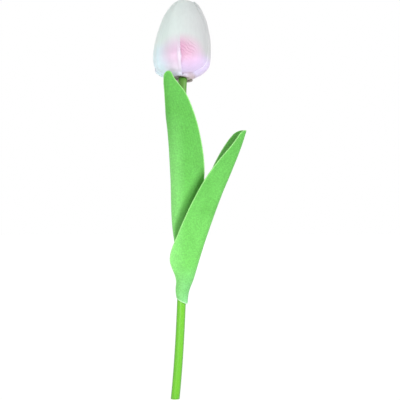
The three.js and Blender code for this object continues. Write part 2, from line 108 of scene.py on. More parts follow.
world = bpy.data.worlds.new("studio")
scene.world = world
world.use_nodes = True
tree = world.node_tree
tree.nodes.clear()
strength = add_node(tree, "MapRange", {"Value": seen_rays(tree), "To Min": WORLD_STRENGTH, "To Max": 1.0})
sky = add_node(tree, "Background", {"Color": "ffffff", "Strength": strength})
add_node(tree, "OutputWorld", {"Surface": sky})


def soft_box(name, place, aim, size, power, mirrored=True):
    """A square area lamp that looks at a point. One that isn't mirrored leaves no glare on the edges."""
    lamp = bpy.data.lights.new(name, "AREA")
    lamp.size = size * MM
    lamp.energy = power
    holder = bpy.data.objects.new(name, lamp)
    holder.visible_glossy = mirrored
    scene.collection.objects.link(holder)
    holder.location = Vector(place) * MM
    holder.rotation_euler = (Vector(aim) - Vector(place)).to_track_quat("-Z", "Y").to_euler()


soft_box("left_box", place=(-400, -600, 250), aim=(0, 0, 190), size=400, power=1.15)
soft_box("right_box", place=(560, -430, 260), aim=(0, 0, 190), size=140, power=2.1)
soft_box("low_box", place=(-120, -480, 80), aim=(0, 0, 270), size=150, power=0.64)
soft_box("top_box", place=(-60, 120, 900), aim=(0, 0, 200), size=420, power=0.5)
soft_box("back_box", place=(-60, 650, 660), aim=(0, 0, 200), size=300, power=1.8, mirrored=False)

# To the eye the paper glows white far off and less near the flower, where its lit colour keeps the shadow
FLOOR_SIZE = 6000
FLOOR_DROP = 0.4
NEAR_GLOW = 0.9
PAPER_SHADE = 0.86
SHADOW_SHADE = 0.16
paper, tree, where = new_material("studio_paper")
seen = seen_rays(tree)
lit, shown = ((shade, shade, shade, 1) for shade in (PAPER_SHADE, SHADOW_SHADE))
paper_tone = add_node(tree, "Mix", {"Factor": seen, "A": lit, "B": shown}, data_type="RGBA")
matt = add_node(tree, "BsdfDiffuse", {"Color": paper_tone})
apart = add_node(tree, "VectorMath", {0: where}, operation="LENGTH")
glow = add_node(tree, "MapRange", {
    "Value": apart, "From Min": 250 * MM, "From Max": 900 * MM, "To Min": NEAR_GLOW, "To Max": 1.0})
glow = add_node(tree, "Math", {0: seen, 1: glow}, operation="MULTIPLY")
bright = add_node(tree, "Emission", {"Color": "ffffff", "Strength": glow})
both = add_node(tree, "AddShader", {0: matt, 1: bright})
add_node(tree, "OutputMaterial", {"Surface": both})
shape = bmesh.new()
bmesh.ops.create_grid(shape, x_segments=1, y_segments=1, size=FLOOR_SIZE * MM / 2)
bmesh.ops.translate(shape, vec=(0, 0, -FLOOR_DROP * MM), verts=shape.verts)
floor_data = bpy.data.meshes.new("paper_floor")
shape.to_mesh(floor_data)
shape.free()
floor_data.materials.append(paper)
floor = bpy.data.objects.new("paper_floor", floor_data)
scene.collection.objects.link(floor)


# Stem sleeve: a soft plastic tube moulded over the wire, satin green, with the mould's two parting lines down
# its sides. It is cut off square at its lower end.
# GAP is the gap that touching pieces keep.
GAP = 0.35
STEM_RADIUS = 3.25
STEM_HEIGHT = 240.4
STEM_BOW = 6.6
NECK_CURL = 16
LEAN_RIGHT = radians(5.2)
LEAN_BACK = radians(8)
WIRE_RADIUS = 1.0
BORE_RADIUS = WIRE_RADIUS + GAP
SLEEVE_SPLIT = 84
SLEEVE_SIDES = 48
SLEEVE_END = [(0, 0.5), (0.12, 0.15), (0.4, 0)]
PARTING_LINE = 0.07
RING_STEP = 2.5
# How far below the cut end the sleeve and wire are made before they are cut off there
BELOW_END = 1.5

head_axis = Vector((sin(LEAN_RIGHT), sin(LEAN_BACK), 1)).normalized()
bow_points = [Vector(point) for point in (
    (0, 0, 0), (STEM_BOW, 0, 0.27 * STEM_HEIGHT), (STEM_BOW, 0, 0.62 * STEM_HEIGHT),
    (0.78 * STEM_BOW, 0, STEM_HEIGHT - NECK_CURL))]
curl_corner = bow_points[3] + (bow_points[3] - bow_points[2]).normalized() * NECK_CURL / 2
stem_top = curl_corner + head_axis * NECK_CURL / 2
curl_points = [bow_points[3], curl_corner, stem_top]


def bezier(points, t):
    """The point of a Bezier curve of any degree."""
    while len(points) > 1:
        points = [a.lerp(b, t) for a, b in zip(points, points[1:])]
    return points[0]


def stem_at(height):
    """The point of the stem's centre line at a height, which goes straight on past either end."""
    halvings = 30
    if height <= 0:
        start = bow_points[1].normalized()
        return start * height / start.z
    if height >= stem_top.z:
        return stem_top + head_axis * (height - stem_top.z) / head_axis.z
    points = bow_points if height < bow_points[3].z else curl_points
    low, high = 0.0, 1.0
    for _ in range(halvings):
        middle = (low + high) / 2
        if bezier(points, middle).z < height:
            low = middle
        else:
            high = middle
    return bezier(points, low)


def stem_frame(height):
    """The frame that stands on the stem's centre line at a height, with its Z along the stem."""
    reach = 0.5
    along = (stem_at(height + reach) - stem_at(height - reach)).normalized()
    turn = Vector((0, 0, 1)).rotation_difference(along)
    return Matrix.Translation(stem_at(height)) @ turn.to_matrix().to_4x4()


def finish_mesh(shape, name, material):
    """Turns a shape in millimetres into an object in metres, with smooth shading."""
    bmesh.ops.scale(shape, vec=(MM, MM, MM), verts=shape.verts)
    data = bpy.data.meshes.new(name)
    shape.to_mesh(data)
    shape.free()
    data.polygons.foreach_set("use_smooth", [True] * len(data.polygons))
    data.materials.append(material)
    made = bpy.data.objects.new(name, data)
    scene.collection.objects.link(made)
    return made


def tube_on_stem(rings, sides, ridge=0.0):
    """A tube round the stem's centre line, and the edges of its first and last ring. Each ring is a height
    and a radius. The ridge, a share of the radius, stands out on the one line of corners down each side."""
    outermost = 0.995
    shape = bmesh.new()
    side_layer = shape.verts.layers.float.new("side")
    ring = bmesh.ops.create_circle(shape, segments=sides, radius=1.0)["verts"]
    for corner in ring:
        corner[side_layer] = abs(corner.co.x)
        corner.co *= 1 + ridge * (abs(corner.co.x) > outermost)
    edges = list(shape.edges)
    first = edges
    place = Matrix.Identity(4)
    for count, (height, radius) in enumerate(rings):
        target = stem_frame(height) @ Matrix.Diagonal((radius, radius, radius, 1))
        if count:
            grown = bmesh.ops.extrude_edge_only(shape, edges=edges)["geom"]
            ring = [item for item in grown if isinstance(item, bmesh.types.BMVert)]
            edges = [item for item in grown if isinstance(item, bmesh.types.BMEdge)]
        bmesh.ops.transform(shape, matrix=target @ place.inverted(), verts=ring)
        place = target
    return shape, first, edges


def ring_heights(start, end):
    """Even heights between the two ends of a tube, without the ends."""
    steps = int(abs(end - start) / RING_STEP)
    return [start + (end - start) * k / steps for k in range(1, steps)]


def cut_off_level(shape):
    """Cuts a tube that starts below the stem's cut end off level there, and gives the edges round the cut."""
    cut = bmesh.ops.bisect_plane(shape, geom=list(shape.verts) + list(shape.edges) + list(shape.faces),
                                 plane_co=(0, 0, 0), plane_no=(0, 0, -1), clear_outer=True)["geom_cut"]
    return [edge for edge in cut if isinstance(edge, bmesh.types.BMEdge)]


def sleeve_length(name, bottom, top):
    """One length of sleeve with a small round on its ends, hollow for the wire."""
    rings = [(bottom + up, STEM_RADIUS - less) for up, less in SLEEVE_END]
    rings += [(height, STEM_RADIUS) for height in ring_heights(bottom, top)]
    rings += [(top - up, STEM_RADIUS - less) for up, less in reversed(SLEEVE_END)]
    rings += [(height, BORE_RADIUS) for height in (top, *ring_heights(top, bottom), bottom)]
    shape, first, last = tube_on_stem(rings, SLEEVE_SIDES, PARTING_LINE / STEM_RADIUS)
    bmesh.ops.bridge_loops(shape, edges=first + last)
    if bottom < 0:
        bmesh.ops.bridge_loops(shape, edges=cut_off_level(shape))
    bmesh.ops.recalc_face_normals(shape, faces=shape.faces)
    return finish_mesh(shape, name, stem_plastic)


# Soft moulded plastic: light green, satin, a little translucent, with slow changes of tone from the mould.
# Painted shade makes it duller towards the bud, where the bud's shade falls, and darker down its sides, where
# the tube turns from the light.
stem_plastic, tree, where = new_material("moulded_stem_plastic")
axes = add_node(tree, "SeparateXYZ", {0: where}).outputs
# Painted shade: the tone turns duller and greyer up the neck, under the bud
bud_shade = add_node(tree, "MapRange", {"Value": axes["Z"], "From Min": 190 * MM, "From Max": 233 * MM})
tone = add_node(tree, "Mix", {"Factor": bud_shade, "A": "74cc26", "B": "6caa42"}, data_type="RGBA")
cloud = add_node(tree, "TexNoise", {"Vector": where, "Scale": 1 / (9 * MM), "Detail": 3.0})
patch = add_node(tree, "MapRange", {"Value": cloud, "From Min": 0.35, "From Max": 0.7, "To Max": 0.35})
tone = add_node(tree, "Mix", {"Factor": patch, "A": tone, "B": "66be34"}, data_type="RGBA")
side = add_node(tree, "Attribute", attribute_name="side").outputs["Fac"]
# Painted shade: darker down both sides of the tube, away from the light
side_shade = add_node(tree, "MapRange", {"Value": side, "From Min": 0.72, "From Max": 0.95, "To Max": 0.6})
tone = add_node(tree, "Mix", {"Factor": side_shade, "A": tone, "B": "4c8a26"}, data_type="RGBA")
grain = add_node(tree, "TexNoise", {"Vector": where, "Scale": 1 / (0.7 * MM), "Detail": 2.0})
relief = add_node(tree, "Bump", {"Height": grain, "Strength": 0.25, "Distance": 0.05 * MM})
skin = add_node(tree, "BsdfPrincipled", {
    "Base Color": tone, "Roughness": 0.38, "IOR": 1.5, "Normal": relief, "Subsurface Weight": 0.08,
    "Subsurface Radius": (1, 1, 0.4), "Subsurface Scale": 1.5 * MM})
add_node(tree, "OutputMaterial", {"Surface": skin})

lower_sleeve = sleeve_length("stem_sleeve_below_leaves", -BELOW_END, SLEEVE_SPLIT - GAP)
upper_sleeve = sleeve_length("stem_sleeve_above_leaves", SLEEVE_SPLIT, stem_top.z)


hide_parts("stem_sleeve_lower")
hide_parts("stem_sleeve_middle", "stem_sleeve_upper")
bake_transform(lower_sleeve)
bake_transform(upper_sleeve)


# Core wire: plain drawn steel, loose in the sleeve's bore. Its bare top end is the peg that the flower head
# is pushed onto.
PEG_LENGTH = 13
WIRE_SIDES = 16
WIRE_ROUNDING = 0.15

# Drawn steel wire: grey, with fine lines along it
wire_steel, tree, where = new_material("drawn_steel_wire")
drawn = add_node(tree, "Mapping", {"Vector": where, "Scale": (1, 1, 0.02)})
lines = add_node(tree, "TexNoise", {"Vector": drawn, "Scale": 1 / (0.2 * MM), "Detail": 2.0})
tone = add_node(tree, "Mix", {"Factor": lines, "A": "7d8286", "B": "a5aaae"}, data_type="RGBA")
relief = add_node(tree, "Bump", {"Height": lines, "Strength": 0.3, "Distance": 0.02 * MM})
metal = add_node(tree, "BsdfPrincipled", {
    "Base Color": tone, "Metallic": 1.0, "Roughness": 0.35, "Normal": relief})
add_node(tree, "OutputMaterial", {"Surface": metal})


def wire_length(name, bottom, top):
    """A round wire along the stem, with a slightly rounded cut at each end."""
    rings = [(bottom, WIRE_RADIUS - WIRE_ROUNDING), (bottom + WIRE_ROUNDING, WIRE_RADIUS)]
    rings += [(height, WIRE_RADIUS) for height in ring_heights(bottom, top)]
    rings += [(top - WIRE_ROUNDING, WIRE_RADIUS), (top, WIRE_RADIUS - WIRE_ROUNDING)]
    shape, first, last = tube_on_stem(rings, WIRE_SIDES)
    for rim in (first, last):
        bmesh.ops.contextual_create(shape, geom=rim)
    if bottom < 0:
        bmesh.ops.contextual_create(shape, geom=cut_off_level(shape))
    bmesh.ops.recalc_face_normals(shape, faces=shape.faces)
    return finish_mesh(shape, name, wire_steel)


lower_wire = wire_length("core_wire_below_leaves", -BELOW_END, SLEEVE_SPLIT - GAP)
upper_wire = wire_length("core_wire_above_leaves", SLEEVE_SPLIT, stem_top.z + PEG_LENGTH * head_axis.z)
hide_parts("stem_wire_lower")
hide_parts("stem_wire_middle", "stem_wire_upper")
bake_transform(lower_wire)
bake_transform(upper_wire)


# Leaves: die-cut from rubber-coated cloth, folded along the middle and glued round the stem at the base, the
# short one below the tall one. The coating is matt and finely grained, and the cut edges show pale.
LEAF_THICKNESS = 0.8
LEAF_CLEARANCE = 0.5
SHEATH_RADIUS = STEM_RADIUS + LEAF_CLEARANCE + LEAF_THICKNESS / 2
LEAF_ROWS = 110
LEAF_COLUMNS = 28
LEAF_END = 0.995
LEAF_ROUNDING = 0.16
TIP_ROWS = 12
EVEN_SHARE = 0.35
COLLAR_RISE = 4
COLLAR_CURVE = 1.5
COLLAR_SHARE = 0.12
# What a station of a leaf says: where its fold stands and which way it faces, and for each half its width and
# the radius and turn of its bend beside the fold
FIELDS = ("azimuth", "out", "facing", "left", "left_radius", "left_turn", "right", "right_radius",
          "right_turn")


def read_track(rows, share):
    """The smooth curve through rows of values, each row a share and what is set there."""
    last = len(rows) - 1
    at = next((k for k in range(1, last) if share < rows[k][0]), last)
    (start, *low), (end, *high) = rows[at - 1], rows[at]
    before = rows[at - 2] if at > 1 else rows[at]
    after = rows[at + 1] if at < last else rows[at - 1]
    half = (end - start) / 2
    pull_low = half / (start - before[0])
    pull_high = half / (after[0] - end)
    p = (share - start) / (end - start)
    weights = (
        -pull_low * p ** 3 + 2 * pull_low * p ** 2 - pull_low * p,
        (1 + pull_low) * p ** 3 - (1.5 + 2 * pull_low) * p ** 2 + (pull_low - 0.5) * p + 1,
        -(1 + pull_high) * p ** 3 + (1.5 + pull_high) * p ** 2 + 0.5 * p,
        pull_high * p ** 3 - pull_high * p ** 2,
    )
    return [sum(w * v for w, v in zip(weights, values)) for values in zip(before[1:], low, high, after[1:])]


def smooth_step(value, low, high):
    """0 below low, 1 above high, and an even rise between them."""
    share = min(max((value - low) / (high - low), 0), 1)
    return share * share * (3 - 2 * share)


def direction(azimuth):
    """The level direction at an azimuth in degrees, which is 0 to the front and 90 to the right."""
    return Vector((sin(radians(azimuth)), -cos(radians(azimuth)), 0))


def half_section(distance, radius, turn):
    """How far a point of a leaf's half lies aside and back from the fold, and its turn there."""
    bent = min(distance / radius, radians(turn))
    straight = distance - bent * radius
    return radius * sin(bent) + straight * cos(bent), radius * (1 - cos(bent)) + straight * sin(bent), bent


def tipped_rows(count, tip_share, bluntness=1.0):
    """Rows along a leaf or petal, closer towards its ends: each a share of its length and how far it is
    narrowed, which rounds off the tip. A lower bluntness gives a squarer tip."""
    rows = []
    for row in range(count + 1):
        even = row / count
        eased = EVEN_SHARE * even + (1 - EVEN_SHARE) * (1 - cos(pi * even)) / 2
        rows.append(((1 - tip_share) * eased, 1.0))
    for row in range(1, TIP_ROWS + 1):
        turn = pi / 2 * row / (TIP_ROWS + 1)
        rows.append((1 - tip_share + tip_share * sin(turn), cos(turn) ** bluntness))
    return rows


def two_skins(columns, rows, point_at, rounding):
    """A closed sheet of an outer and an inner skin, joined round the rim by a rounded edge. The place of a
    point and its distance from the rim come from how far it is across, its row and its skin. The mesh keeps
    that distance and the skin."""
    shape = bmesh.new()
    rim_layer = shape.verts.layers.float.new("rim")
    skin_layer = shape.verts.layers.float.new("inner_skin")
    for skin in (0, 1):
        grid = bmesh.ops.create_grid(shape, x_segments=columns, y_segments=len(rows) - 1, size=1.0)["verts"]
        for corner in grid:
            row = rows[round((corner.co.y + 1) / 2 * (len(rows) - 1))]
            corner[skin_layer] = skin
            corner.co, corner[rim_layer] = point_at(corner.co.x, row, skin)
    boundary = [edge for edge in shape.edges if edge.is_boundary]
    bmesh.ops.bridge_loops(shape, edges=boundary)
    bmesh.ops.recalc_face_normals(shape, faces=shape.faces)
    bmesh.ops.bevel(shape, geom=boundary, offset=rounding, segments=2, profile=0.5, affect="EDGES",
                    material=-1)
    return shape


def make_leaf(name, base, rise, stations, tip_share, bluntness=1.0):
    """A leaf whose fold climbs beside the stem and whose halves go off to each side of it. Each station is a
    share of the rise from the base, and the fields there."""
    slope_share = 0.01

    def fold_at(share):
        azimuth, out = read_track(stations, share)[:2]
        return stem_at(base + rise * share) + direction(azimuth) * out

    rows = []
    for along, narrowing in tipped_rows(LEAF_ROWS, tip_share, bluntness):
        share = along * LEAF_END
        values = dict(zip(FIELDS, read_track(stations, share)))
        upward = (fold_at(min(share + slope_share, 1)) - fold_at(max(share - slope_share, 0))).normalized()
        outward = direction(values["facing"])
        outward = (outward - upward * outward.dot(upward)).normalized()
        rows.append((share, narrowing, values, fold_at(share), upward, outward))

    def point_at(across, row, skin):
        share, narrowing, values, fold, upward, outward = row
        side, sign = ("left", -1) if across < 0 else ("right", 1)
        width = values[side] * narrowing
        radius, most = values[side + "_radius"], values[side + "_turn"]
        aside, back, turn = half_section(abs(across) * width, radius, most)
        rightward = upward.cross(outward)
        normal = outward * cos(turn) + rightward * sign * sin(turn)
        point = fold + rightward * sign * aside - outward * back + normal * LEAF_THICKNESS * (0.5 - skin)
        rim_rise = COLLAR_RISE * abs(across) ** COLLAR_CURVE * (1 - smooth_step(share, 0, COLLAR_SHARE))
        rim = min((1 - abs(across)) * width, (LEAF_END - share) * rise, share * rise)
        return point + upward * rim_rise, rim

    return finish_mesh(two_skins(2 * LEAF_COLUMNS, rows, point_at, LEAF_ROUNDING), name, leaf_cloth)


# Rubber-coated leaf cloth: matt and finely grained, in a green that is paler at the base, with painted light
# making it lighter to the left. It is darker on the inner skin, with painted shade deepening into the fold,
# and has a painted shadow where the short leaf's edge stands over the tall leaf. It has faint embossed veins
# along the edges and a pale cut edge, whitened at the base as a painted highlight. The grain is drawn coarser
# than the real one, so that it shows.
VEIN_PITCH = 1.8
VEIN_RELIEF = 0.25
LEAF_SHADOW_SHARE = 0.8
leaf_cloth, tree, where = new_material("rubber_coated_leaf_cloth")
axes = add_node(tree, "SeparateXYZ", {0: where}).outputs
up_leaf = add_node(tree, "MapRange", {
    "Value": axes["Z"], "From Min": 90 * MM, "From Max": 215 * MM}, interpolation_type="SMOOTHSTEP")
tone = add_node(tree, "Mix", {"Factor": up_leaf, "A": "76d45f", "B": "5cb748"}, data_type="RGBA")
near_base = add_node(tree, "MapRange", {
    "Value": axes["Z"], "From Min": 70 * MM, "From Max": 100 * MM, "To Min": 1.0, "To Max": 0.0})
cloud = add_node(tree, "TexNoise", {"Vector": where, "Scale": 1 / (14 * MM), "Detail": 4.0})
patch = add_node(tree, "MapRange", {"Value": cloud, "From Min": 0.4, "From Max": 0.7, "To Max": 0.6})
# Painted light: lighter on the left below the tip, where the blade faces the light
leftward = add_node(tree, "MapRange", {
    "Value": axes["X"], "From Min": -3 * MM, "From Max": 8 * MM, "To Min": 0.9, "To Max": 0.0})
below_tip = add_node(tree, "MapRange", {
    "Value": axes["Z"], "From Min": 165 * MM, "From Max": 215 * MM, "To Min": 1.0, "To Max": 0.0})
painted_left_light = add_node(tree, "Math", {0: leftward, 1: below_tip}, operation="MULTIPLY")
# Painted shadow of the short leaf's edge on the tall leaf
leaf_shadow = add_node(tree, "Attribute", attribute_name="short_leaf_shadow").outputs["Fac"]
leaf_shadow = add_node(tree, "Math", {0: leaf_shadow, 1: LEAF_SHADOW_SHARE}, operation="MULTIPLY")
inner = add_node(tree, "Attribute", attribute_name="inner_skin").outputs["Fac"]
rim = add_node(tree, "Attribute", attribute_name="rim").outputs["Fac"]
# Painted shade on the inner skin: darker deep in the fold, lighter towards the rim
fold_shade = add_node(tree, "MapRange", {"Value": rim, "From Max": 7.0, "To Min": 0.35, "To Max": 0.9})
back = add_node(tree, "Math", {0: inner, 1: fold_shade}, operation="MULTIPLY")
cut_edge = add_node(tree, "MapRange", {
    "Value": rim, "From Min": 0.45, "From Max": 0.9, "To Min": 0.8, "To Max": 0.0})
# The cut edge is pale, and whiter near the base as a painted highlight
edge_tone_and_highlight = add_node(tree, "Mix", {"Factor": near_base, "A": "a2e88a", "B": "d6f8d2"}, data_type="RGBA")
for share, colour in ((near_base, "96e89c"), (patch, "58b041"), (painted_left_light, "8ee67c"), (leaf_shadow, "34821a"),
                      (back, "427f26"), (cut_edge, edge_tone_and_highlight)):
    tone = add_node(tree, "Mix", {"Factor": share, "A": tone, "B": colour}, data_type="RGBA")
grain = add_node(tree, "TexNoise", {
    "Vector": where, "Scale": 1 / (1.1 * MM), "Detail": 2.0, "Roughness": 0.6})
speck = add_node(tree, "MapRange", {
    "Value": grain, "From Min": 0.3, "From Max": 0.7, "To Min": 0.84, "To Max": 1.13})
tone = add_node(tree, "VectorMath", {0: tone, "Scale": speck}, operation="SCALE")
veins = add_node(tree, "Math", {0: rim, 1: 2 * pi / VEIN_PITCH}, operation="MULTIPLY")
veins = add_node(tree, "Math", {0: veins}, operation="SINE")
relief = add_node(tree, "Math", {0: veins, 1: VEIN_RELIEF, 2: grain}, operation="MULTIPLY_ADD")
relief = add_node(tree, "Bump", {"Height": relief, "Strength": 0.5, "Distance": 0.12 * MM})
coating = add_node(tree, "BsdfPrincipled", {
    "Base Color": tone, "Roughness": 0.62, "IOR": 1.45, "Normal": relief, "Sheen Weight": 0.12,
    "Sheen Roughness": 0.5})
add_node(tree, "OutputMaterial", {"Surface": coating})

TALL_DROP = 146.7
TALL_RISE = 150
TALL_REACH = 24.7
TALL_STATIONS = [
    (0, -15, SHEATH_RADIUS, -15, 10.5, SHEATH_RADIUS, 180, 10.5, SHEATH_RADIUS, 180),
    (0.1, -18, SHEATH_RADIUS + 0.4, -15, 12, SHEATH_RADIUS + 0.8, 180, 11.5, SHEATH_RADIUS + 0.6, 130),
    (0.25, -34, SHEATH_RADIUS + 2.2, -14, 14, SHEATH_RADIUS + 1.6, 165, 15, 14, 60),
    (0.5, -31, SHEATH_RADIUS + 3.5, -12, 17, SHEATH_RADIUS + 2.6, 150, 20.6, 26, 32),
    (0.7, -28, 0.473 * TALL_REACH, -10, 12.4, 6.4, 120, 18.2, 30, 20),
    (0.8, -25.5, 0.608 * TALL_REACH, -8.8, 7.6, 7, 88, 14.9, 30, 17),
    (0.88, -24, 0.745 * TALL_REACH, -8, 5.7, 8, 60, 10.8, 30, 15),
    (0.97, -24.5, 0.945 * TALL_REACH, -8, 4, 8, 30, 3.2, 30, 10),
    (1, -24.5, TALL_REACH, -8, 2.4, 8, 20, 2, 30, 5),
]
tall_leaf = make_leaf("tall_leaf_cloth", STEM_HEIGHT - TALL_DROP, TALL_RISE, TALL_STATIONS, tip_share=0.02)
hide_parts("tall_leaf")
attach(tall_leaf, "stem_middle")

SHORT_DROP = 169.7
SHORT_RISE = 131
SHORT_REACH = 47.1
SHORT_STATIONS = [
    (0, 90, SHEATH_RADIUS, 90, 11.6, SHEATH_RADIUS, 180, 10.4, SHEATH_RADIUS, 180),
    (0.075, 90, SHEATH_RADIUS + 1.04, 90, 14.5, SHEATH_RADIUS + 1, 160, 11, SHEATH_RADIUS + 0.7, 150),
    (0.145, 90, SHEATH_RADIUS + 4.2, 90, 18.6, SHEATH_RADIUS + 1.7, 95, 12, SHEATH_RADIUS + 1.7, 100),
    (0.215, 90, SHEATH_RADIUS + 6.7, 90, 24.6, SHEATH_RADIUS + 2, 84, 14, SHEATH_RADIUS + 2, 80),
    (0.36, 90, 0.348 * SHORT_REACH, 90, 24.5, 6, 79, 16, 6, 72),
    (0.63, 90, 0.613 * SHORT_REACH, 90, 20, 5, 76, 17, 5, 68),
    (0.77, 90, 0.778 * SHORT_REACH, 90, 15.6, 4.5, 74, 16.8, 4.5, 74),
    (0.91, 90, 0.933 * SHORT_REACH, 90, 9, 4.5, 70, 13.6, 4.5, 74),
    (1, 90, 1.015 * SHORT_REACH, 90, 5.6, 4.5, 50, 9.6, 4.5, 46),
]
short_leaf = make_leaf("short_leaf_cloth", STEM_HEIGHT - SHORT_DROP, SHORT_RISE, SHORT_STATIONS,
                       tip_share=0.04, bluntness=0.6)

# Painted shadow: the tall leaf is darkened near the short leaf's edge, where that edge shades it, fully up to
# the first reach and not past the second
SHADOWING_EDGE = 0.5
SHADOW_REACH = (3.5, 8)
rims = short_leaf.data.attributes["rim"].data
edge_points = [corner.co for corner in short_leaf.data.vertices if rims[corner.index].value < SHADOWING_EDGE]
short_edge = KDTree(len(edge_points))
for number, point in enumerate(edge_points):
    short_edge.insert(point, number)
short_edge.balance()
short_leaf_shadow = tall_leaf.data.attributes.new("short_leaf_shadow", "FLOAT", "POINT")
for corner in tall_leaf.data.vertices:
    apart = short_edge.find(corner.co)[2] / MM
    short_leaf_shadow.data[corner.index].value = 1 - smooth_step(apart, *SHADOW_REACH)
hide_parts("short_leaf")
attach(short_leaf, "stem_middle")


# Petals: three outer and three inner, moulded in soft foam, sprayed white with a pink blush low down, and
# glued under the receptacle's flange. The outer ones close the bud's mouth edge to edge, and higher up they
# lie on the inner ones, with a rolled lip down the right edge of each.
BOSS_RADIUS = 5.9
BOSS_HEIGHT = 1.2
MOUTH_RADIUS = BOSS_RADIUS + 0.7
LIP_ROUNDING = 2.2
HEAD_RADIUS = 22.5
HEAD_HEIGHT = 61.5
PETAL_THICKNESS = 1.1
PETAL_TWIST = 40
BELLY_SHIFT = 3
LIP_SHIFT = 2
LIP_SHARE = 0.1
BELLY_SHARE = 0.28
WIDEST_HALF_ANGLE = radians(56)
PROFILE_STEPS = 1500

head_place = Matrix.Translation(stem_top + head_axis * (GAP - BOSS_HEIGHT)) @ (
    Vector((0, 0, 1)).rotation_difference(head_axis).to_matrix().to_4x4())
bud_side = [
    (0.54, 0.023), (0.725, 0.065), (0.89, 0.125), (0.982, 0.195), (1, 0.275), (0.993, 0.365), (0.97, 0.46),
    (0.928, 0.555), (0.863, 0.65), (0.785, 0.745), (0.67, 0.835), (0.52, 0.915), (0.37, 0.968), (0.23, 0.993),
    (0.09, 1),
]
mouth_lip = [(0, 0.45), (0.4, 0.1), (1.3, 0)]
profile_corners = [Vector((MOUTH_RADIUS + out * LIP_ROUNDING, up * LIP_ROUNDING)) for out, up in mouth_lip]
profile_corners += [Vector((radius * HEAD_RADIUS, height * HEAD_HEIGHT)) for radius, height in bud_side]


def spline_point(corners, t):
    """The point of the smooth curve through the corners, where t runs from 0 to 1."""
    place = t * (len(corners) - 1)
    low = min(int(place), len(corners) - 2)
    share = place - low
    a, b, c, d = (corners[min(max(low + k, 0), len(corners) - 1)] for k in (-1, 0, 1, 2))
    slope_b, slope_c = (c - a) / 2, (d - b) / 2
    return ((2 * (b - c) + slope_b + slope_c) * share ** 3
            + (3 * (c - b) - 2 * slope_b - slope_c) * share ** 2 + slope_b * share + b)


profile_points = [spline_point(profile_corners, k / PROFILE_STEPS) for k in range(PROFILE_STEPS + 1)]
profile_lengths = [0.0]
for a, b in zip(profile_points, profile_points[1:]):
    profile_lengths.append(profile_lengths[-1] + (b - a).length)


def profile_at(share):
    """The point of the bud's outline at a share of its length from the mouth, and the direction along it."""
    target = share * profile_lengths[-1]
    low, high = 0, PROFILE_STEPS - 1
    while low < high:
        middle = (low + high + 1) // 2
        if profile_lengths[middle] <= target:
            low = middle
        else:
            high = middle - 1
    a, b = profile_points[low], profile_points[low + 1]
    part = (target - profile_lengths[low]) / (profile_lengths[low + 1] - profile_lengths[low])
    return a.lerp(b, part), (b - a).normalized()


def belly_shift(share):
    """How far the petals stand to the left: nothing at the mouth, most at the lip."""
    past_mouth = smooth_step(share, 0, LIP_SHARE)
    return BELLY_SHIFT * past_mouth + LIP_SHIFT * (past_mouth - smooth_step(share, LIP_SHARE, BELLY_SHARE))


PETAL_COLUMNS = 44
PETAL_ROWS = 96
PETAL_TIP = 0.03
PETAL_ROUNDING = 0.09
FOAM = 0.85
RIM = 0.28
RIM_WIDTH = 3.5
LEFT_RIM_COVER = 1.3
SKIN_DEPTH = 0.1
SHORTEST = 0.01
LEFT_LIP = 0.12
BEAD_HEIGHT = 0.4
BEAD_INSET = 1.3
BEAD_WIDTH = 1.0
HEM_DROP = 0.35
HEM_WIDTH = 0.5
GROOVE_DEPTH = 0.16
GROOVE_WIDTH = 2.2
WAVE_HEIGHT = 0.1
WIDER_LEFT = 0.4
NARROWER_RIGHT = 0.17
SINK_WIDTH = 2.4
SINK_GAIN = 2.6
FIBRE_RELIEF = 1.2
CREASE_RELIEF = 27.0

# Where each of these sets in or fades out, on shares of the bud's outline
LOW_FADE = (0.15, 0.4)
JOIN_FADE = (0.05, 0.105)
REST_FADE = (0.045, 0.09)
FOAM_FADE = (0, 0.12)
# On shares of the petal's length
BODY_FADES = ((0.06, 0.3), (0.86, 0.98))
FLARE_FADE = (0.8, 0.96)
# On heights above the mouth
RIGHT_LIP_FADES = ((1, 5), (14, 30))
LEFT_LIP_FADES = ((4, 10), (46, 58))
SINK_FADE = (24, 44)


def between(value, rise, fall, most=1.0):
    """The most from the end of the rise to the start of the fall, and nothing outside them."""
    return most * smooth_step(value, *rise) * (1 - smooth_step(value, *fall))


def hump(distance, width):
    """1 at its middle, falling off over its width."""
    return exp(-(distance / width) ** 2)


